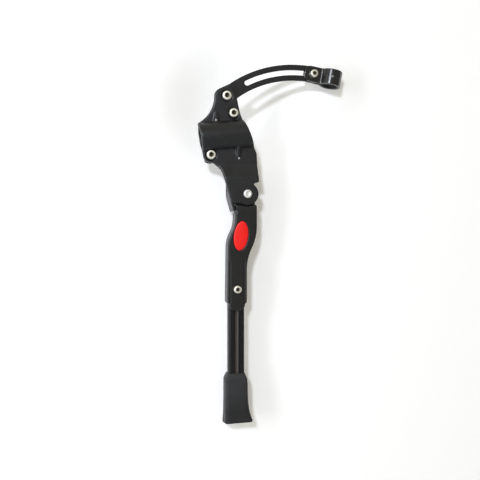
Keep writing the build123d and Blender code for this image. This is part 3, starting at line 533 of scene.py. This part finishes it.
def screw_head(name, size, steel, recess_shade):
    """A socket head on its seat: eased rim, knurled side, hexagon socket with a drilled point."""
    top, radius = size["height"] * MM, size["head"] / 2 * MM
    corner, depth = size["flats"] / sqrt(3) * MM, size["height"] * SOCKET_SHARE * MM
    head = cylinder(HEAD_SIDES, radius, 0, top)
    head.name = name
    select(head, "EDGE", lambda ends: all(end.z > top - TINY for end in ends))
    bpy.ops.mesh.bevel(offset=HEAD_EDGE * MM, segments=HEAD_EDGE_STEPS)

    def every_other_side(ends):
        middle = sum(ends, Vector()) / len(ends)
        upright = min(end.z for end in ends) < TINY and max(end.z for end in ends) > top / 2
        return upright and int(atan2(middle.y, middle.x) % tau / tau * HEAD_SIDES) % 2 == 0

    select(head, "FACE", every_other_side)
    bpy.ops.mesh.inset(thickness=KNURL_GAP * MM, depth=-KNURL_DEPTH * MM, use_individual=True)
    bpy.ops.object.mode_set(mode="OBJECT")
    key = cylinder(SOCKET_SIDES, corner, top - depth, top + depth)
    select(key, "FACE", lambda ends: all(end.z < top for end in ends))
    bpy.ops.mesh.extrude_region_move(
        TRANSFORM_OT_translate={"value": (0, 0, -SOCKET_POINT * MM)})
    bpy.ops.mesh.merge(type="CENTER")
    bpy.ops.object.mode_set(mode="OBJECT")
    carve(head, key)
    select(head, "EDGE", lambda ends: all(
        end.z > top - TINY and hypot(end.x, end.y) < corner + TINY for end in ends))
    bpy.ops.mesh.bevel(offset=FINE_EDGE * MM, segments=FINE_EDGE_STEPS)

    def recessed(ends):
        widths = [hypot(end.x, end.y) for end in ends]
        highest = max(end.z for end in ends)
        in_socket = max(widths) < corner + TINY and highest < top - TINY
        in_knurl = corner < min(widths) and max(widths) < radius - KNURL_DEPTH / 2 * MM
        return in_socket or (in_knurl and highest < top - HEAD_EDGE * MM)

    # Painted shade: the socket's and the knurl's recessed faces get a dark brown steel.
    head.data.materials.append(steel)
    head.data.materials.append(recess_shade)
    select(head, "FACE", recessed)
    head.active_material_index = 1
    bpy.ops.object.material_slot_assign()
    bpy.ops.object.mode_set(mode="OBJECT")
    return head


def screw_shank(size, length):
    """A threaded shank below the seat: an off-centre bar that is twisted once for each turn."""
    radius, lift = size["thread"] / 2 * MM, THREAD_DEPTH / 2 * MM
    shank = cylinder(THREAD_SIDES, radius - lift, -length, 0)
    # One subdivision makes a hundred cuts at most, so a second one halves what it leaves.
    for cuts in (THREAD_CUTS, 1):
        select(shank, "EDGE", lambda ends: abs(ends[0].z - ends[1].z) > TINY)
        bpy.ops.mesh.subdivide(number_cuts=cuts)
    bpy.ops.mesh.select_all(action="SELECT")
    bpy.ops.transform.translate(value=(lift, 0, 0))
    bpy.ops.object.mode_set(mode="OBJECT")
    apply(shank, "SIMPLE_DEFORM", deform_method="TWIST", deform_axis="Z",
          angle=tau * length / (size["pitch"] * MM))
    select(shank, "VERT", lambda ends: ends[0].z < TINY - length)
    bpy.ops.transform.resize(value=(THREAD_END, THREAD_END, 1), center_override=(0, 0, -length))
    bpy.ops.object.mode_set(mode="OBJECT")
    return shank


def cap_screw(name, size, finishes, length, point=0.0):
    """A socket head screw: its seat at zero, its thread below it and, if asked, a plain point."""
    pieces = [screw_head(name, size, *finishes), screw_shank(size, length)]
    if point:
        tip = cylinder(THREAD_SIDES, POINT_RADIUS * MM, -length - point, -length)
        select(tip, "EDGE", lambda ends: all(end.z < TINY - length - point for end in ends))
        bpy.ops.mesh.bevel(offset=FINE_EDGE * MM, segments=FINE_EDGE_STEPS)
        bpy.ops.object.mode_set(mode="OBJECT")
        pieces.append(tip)
    return joined(pieces)


def screw_for(node, name, size, finishes, body, point=0.0):
    """A socket head screw in the place of a CAD screw."""
    low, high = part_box(node)
    seat, length = low.y + size["height"] * MM, high.y - low.y - size["height"] * MM
    screw = cap_screw(name, size, finishes, length - point, point)
    face_front(screw, ((low.x + high.x) / 2, seat, (low.z + high.z) / 2))
    fit(screw, node, body, None)


def lock_screw(finishes):
    """The screw that locks the rod, whose plain point stands in the rod's groove."""
    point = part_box("lock_screw")[1].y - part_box("lower_rod")[0].y + POINT_PLAY * MM
    screw_for("lock_screw", "rod_lock_screw", M5, finishes, "leg", point)


def clamp_screws(finishes):
    """The two screws of the chain stay clamp: modelled once and copied."""
    low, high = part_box("clamp_bolts")
    radius, height = M6["head"] / 2 * MM, M6["height"] * MM
    first = cap_screw("clamp_screws", M6, finishes, high.y - low.y - height)
    second = first.copy()
    second.data = first.data.copy()
    bpy.context.scene.collection.objects.link(second)
    face_front(first, (high.x - radius, low.y + height, high.z - radius))
    face_front(second, (low.x + radius, low.y + height, low.z + radius))
    fit(joined([first, second]), "clamp_bolts", "bracket", None)


def rivet(material):
    """The pivot rivet: a rolled rim round a shallow dish, and a tail spread into the rear wall."""
    low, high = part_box("pivot_rivet")
    depth = (high.y - low.y) / MM - RIVET_HEIGHT
    tail = [(RIVET_SHANK, 0), (RIVET_SHANK, RIVET_TAIL_DEPTH - depth), (RIVET_TAIL, -depth),
            (0, -depth)]
    piece = turned("rivet_turned", RIVET_HEAD + tail, HEAD_SIDES)
    face_front(piece, ((low.x + high.x) / 2, low.y + RIVET_HEIGHT * MM, (low.z + high.z) / 2))
    fit(piece, "pivot_rivet", "bracket", material)


def oval(material):
    """The plain oval inlay, a low dome that lies in the leg's recess."""
    low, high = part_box("badge")
    piece = turned("oval_inlay", OVAL_DOME, OVAL_SIDES)
    select_whole(piece)
    bpy.ops.transform.resize(
        value=(1, OVAL_HALF_LENGTH / OVAL_HALF_WIDTH, 1), center_override=(0, 0, 0))
    bpy.ops.object.mode_set(mode="OBJECT")
    face_front(piece, ((low.x + high.x) / 2, high.y, (low.z + high.z) / 2), OVAL_LEAN)
    fit(piece, "badge", "leg", material)


def stud(material):
    """The domed stud on the hoop's barrel, which holds the rubber sleeve."""
    piece = turned("sleeve_stud", STUD_DOME, HEAD_SIDES)
    face_front(piece, STUD_AT)
    finish(piece, "hoop", material)


def spring(material):
    """The over-centre spring: wire wound round its axis, each end bent up and round its post."""
    low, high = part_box("upper_spring_post")
    upper = (low + high) / 2
    low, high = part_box("lower_spring_post")
    lower = (low + high) / 2
    low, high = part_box("leg_spring")
    along = Vector((lower.x - upper.x, 0, lower.z - upper.z))
    rise, middle = COIL_TURNS * COIL_PITCH * MM, along.length / 2
    bpy.ops.object.select_all(action="DESELECT")
    bpy.ops.mesh.primitive_circle_add(
        vertices=WIRE_SIDES, radius=WIRE * MM, rotation=(pi / 2, 0, 0),
        location=(COIL_RADIUS * MM, 0, middle - rise / 2))
    bpy.ops.object.transform_apply()
    piece = bpy.context.object
    piece.name = "spring_wire"
    apply(piece, "SCREW", axis="Z", angle=tau, screw_offset=COIL_PITCH * MM,
          iterations=COIL_TURNS, steps=COIL_STEPS, render_steps=COIL_STEPS)
    for side, post in ((1, along.length), (-1, 0)):
        end = middle + side * rise / 2
        bend = side * HOOK_BEND * MM
        select(piece, "VERT", lambda ends: abs(ends[0].y) < TINY and ends[0].x > 0
               and abs(ends[0].z - end) < WIRE * MM + TINY)
        bpy.ops.mesh.spin(steps=HOOK_BEND_STEPS, angle=-pi / 2, axis=(1, 0, 0),
                          center=(COIL_RADIUS * MM, 0, end + bend))
        bpy.ops.mesh.extrude_region_move(TRANSFORM_OT_translate={"value": (
            (HOOK_RADIUS - COIL_RADIUS) * MM, -bend, post - end - bend)})
        bpy.ops.mesh.spin(steps=HOOK_STEPS, angle=radians(HOOK_TURN), axis=(0, side, 0),
                          center=(0, 0, post))
        bpy.ops.mesh.edge_face_add()
        bpy.ops.object.mode_set(mode="OBJECT")
    mend(piece)
    piece.rotation_euler = (0, atan2(along.x, along.z), 0)
    piece.location = (upper.x, (low.y + high.y) / 2, upper.z)
    alone(piece)
    bpy.ops.object.transform_apply()
    fit(piece, "leg_spring", "spring", material, ROUND)


def treaded_foot(material):
    """The rubber foot with grooves across its sole, its edges eased as from the mould."""
    piece = copy_of("foot", "foot_moulded")
    bpy.ops.object.select_all(action="DESELECT")
    bpy.ops.mesh.primitive_cube_add(size=MM)
    groove = bpy.context.object
    groove.scale = (GROOVE_LENGTH, GROOVE_WIDTH, 2 * GROOVE_DEPTH)
    groove.location = (0, (1 - GROOVES) / 2 * GROOVE_SPACING * MM, 0)
    bpy.ops.object.transform_apply()
    apply(groove, "ARRAY", count=GROOVES, use_relative_offset=False, use_constant_offset=True,
          constant_offset_displace=(0, GROOVE_SPACING * MM, 0))
    groove.rotation_euler = (radians(SOLE_TILT[0]), radians(SOLE_TILT[1]), 0)
    groove.location = SOLE_AT
    alone(groove)
    bpy.ops.object.transform_apply()
    carve(piece, groove)
    ease(piece, FOOT_CELL, FOOT_PASSES)
    fit(piece, "foot", "rod", material, SOFT)


def make_camera():
    """The photograph's camera."""
    forward = Vector((sin(radians(VIEW_AZIMUTH)), cos(radians(VIEW_AZIMUTH)), 0))
    lens = bpy.data.cameras.new("photo_camera")
    lens.angle = 2 * atan(VIEW_WIDTH / 2 / VIEW_DISTANCE)
    camera = bpy.data.objects.new("photo_camera", lens)
    camera.location = VIEW_TARGET - forward * VIEW_DISTANCE
    camera.rotation_euler = forward.to_track_quat("-Z", "Y").to_euler()
    bpy.context.scene.collection.objects.link(camera)
    bpy.context.scene.camera = camera


def make_stage():
    """The sheet behind the stand, pushed back and forward where it isn't flat, and the floor."""
    bpy.ops.object.select_all(action="DESELECT")
    bpy.ops.mesh.primitive_grid_add(
        x_subdivisions=SHEET_CELLS, y_subdivisions=SHEET_CELLS, size=SHEET_SIZE,
        location=(0, SHEET_Y, SHEET_Z), rotation=(pi / 2, 0, 0))
    bpy.ops.object.transform_apply()
    sheet = bpy.context.object
    sheet.name = "backdrop_sheet"
    near = SHEET_SIZE / SHEET_CELLS * SHEET_NEAREST
    for push in (HOLLOW, SWELL):
        select(sheet, "VERT", lambda ends: abs(ends[0].x - push["at"].x) < near
               and abs(ends[0].z - push["at"].z) < near)
        bpy.ops.transform.translate(
            value=(0, push["by"], 0), use_proportional_edit=True,
            proportional_edit_falloff="SMOOTH", proportional_size=push["reach"])
        bpy.ops.object.mode_set(mode="OBJECT")
    bpy.ops.object.shade_smooth()
    bpy.ops.mesh.primitive_plane_add(size=FLOOR_SIZE, location=(0, 0, FLOOR_Z))
    floor = bpy.context.object
    floor.name = "studio_floor"
    for piece, colour, lift in (
            (sheet, SHEET_COLOUR, SHEET_LIFT), (floor, FLOOR_COLOUR, FLOOR_LIFT)):
        piece.data.materials.append(paper(piece.name + "_paper", colour, lift))


def make_lamp(name, place, size, power):
    """A soft lamp that looks at the middle of the picture, round where its two sizes are one."""
    lamp = bpy.data.lights.new(name, "AREA")
    lamp.shape = "ELLIPSE" if size[0] == size[1] else "RECTANGLE"
    lamp.size, lamp.size_y = size
    lamp.energy = power
    lamp.color = linear(LAMP_COLOUR)[:3]
    stand = bpy.data.objects.new(name, lamp)
    stand.location = place
    stand.rotation_euler = (VIEW_TARGET - place).to_track_quat("-Z", "Y").to_euler()
    bpy.context.scene.collection.objects.link(stand)


def make_room():
    """The room's own light, from all sides."""
    world = bpy.data.worlds.new("studio")
    world.use_nodes = True
    tree = world.node_tree
    way = add(tree, "SeparateXYZ", links={0: add(tree, "TexCoord").outputs["Generated"]})
    height = add(tree, "MapRange", values={"From Min": -1, "From Max": 1},
                 links={"Value": way.outputs["Z"]})
    tint = add(tree, "Mix", {"data_type": "RGBA"},
               {MIX_FIRST: linear(ROOM_BELOW), MIX_SECOND: linear(ROOM_ABOVE)},
               {MIX_SHARE: height.outputs["Result"]})
    room = tree.nodes["Background"]
    room.inputs["Strength"].default_value = ROOM_STRENGTH
    tree.links.new(tint.outputs[MIX_RESULT], room.inputs["Color"])
    bpy.context.scene.world = world
    bpy.context.scene.view_settings.view_transform = "Standard"


make_camera()
make_stage()
for lamp in LAMPS:
    make_lamp(*lamp)
make_room()

# Powder-coated alloy: satin blacks, coolest on the bracket, with painted highlights at its ribs'
# tips, and a lacquered gloss on the hoop
bracket_coat = powder_coat(
    "bracket_powder_coat", ("#15161a", "#1f2023"), roughness=0.37, painted_glints=GLINT_SPOTS_AT)
leg_coat = powder_coat("leg_powder_coat", ("#121213", "#1a1a1b"), roughness=0.37)
arm_coat = powder_coat("arm_powder_coat", ("#151517", "#1d1d1f"), roughness=0.36)
hoop_coat = powder_coat("hoop_gloss_coat", ("#111216", "#191a1e"), roughness=0.23, lacquer=0.6)

# Steel: pale warm zinc, a dark brown painted shade in sockets and knurls, a bright rivet, a dark
# spring, a dull stud
zinc = plated_steel("zinc_plated_steel", ("#eeeadd", "#fcfaf3"), roughness=0.46)
socket_shade = plated_steel("shaded_socket_steel", ("#1f1c17", "#57503f"), roughness=0.4)
rivet_steel = plated_steel("bright_rivet_steel", ("#f0f0ee", "#fcfcfb"), roughness=0.48)
dark_steel = plated_steel("oiled_dark_steel", ("#4a4a4c", "#6b6a69"), roughness=0.33)
worn_steel = plated_steel("worn_stud_steel", ("#909193", "#a8a9ac"), roughness=0.42)
screw_finishes = (zinc, socket_shade)

# Rubber: dull grey-black, and painted blacker towards the foot's sole, as painted shade
pad_rubber = moulded_rubber("moulded_pad_rubber")
foot_rubber = moulded_rubber("moulded_foot_rubber", FOOT_SHADE_HEIGHTS)

dress(anodised_aluminium(), "lower_rod")
dress(zinc, "arm_washer", "arm_nut", "clamp_nuts", "hoop_washer", "hoop_nut", "upper_spring_post",
      "lower_spring_post")

# Each eased piece: its node, name, cell in millimetres, smoothing passes, body, slot and finish
EASED = (
    ("front_bracket", "bracket_casting", 0.48, 20, "bracket", "bracket_coat", bracket_coat),
    ("rear_jaw", "jaw_casting", 0.42, 18, "jaw", "bracket_coat", bracket_coat),
    ("upper_leg", "leg_casting", 0.45, 14, "leg", "leg_coat", leg_coat),
    ("support_arm", "arm_bar", 0.36, 12, "arm", "arm_coat", arm_coat),
    ("stay_hoop", "hoop_strip", 0.28, 14, "hoop", "hoop_coat", hoop_coat),
    ("front_stay_pad", "front_pad_rubber", 0.36, 10, "bracket", "rubber", pad_rubber),
    ("rear_stay_pad", "rear_pad_rubber", 0.36, 10, "jaw", "rubber", pad_rubber),
    ("hoop_liner", "hoop_sleeve_rubber", 0.32, 10, "hoop", "rubber", pad_rubber),
)
for node, name, cell, passes, body, slot, material in EASED:
    piece = copy_of(node, name)
    ease(piece, cell, passes)
    fit(piece, node, body, material, SOFT)

screw_for("arm_bolt", "arm_screw", M6, screw_finishes, "bracket")
screw_for("hoop_bolt", "hoop_screw", M5, screw_finishes, "hoop_bolt")
lock_screw(screw_finishes)
clamp_screws(screw_finishes)
rivet(rivet_steel)
oval(red_enamel())
spring(dark_steel)
stud(worn_steel)
treaded_foot(foot_rubber)
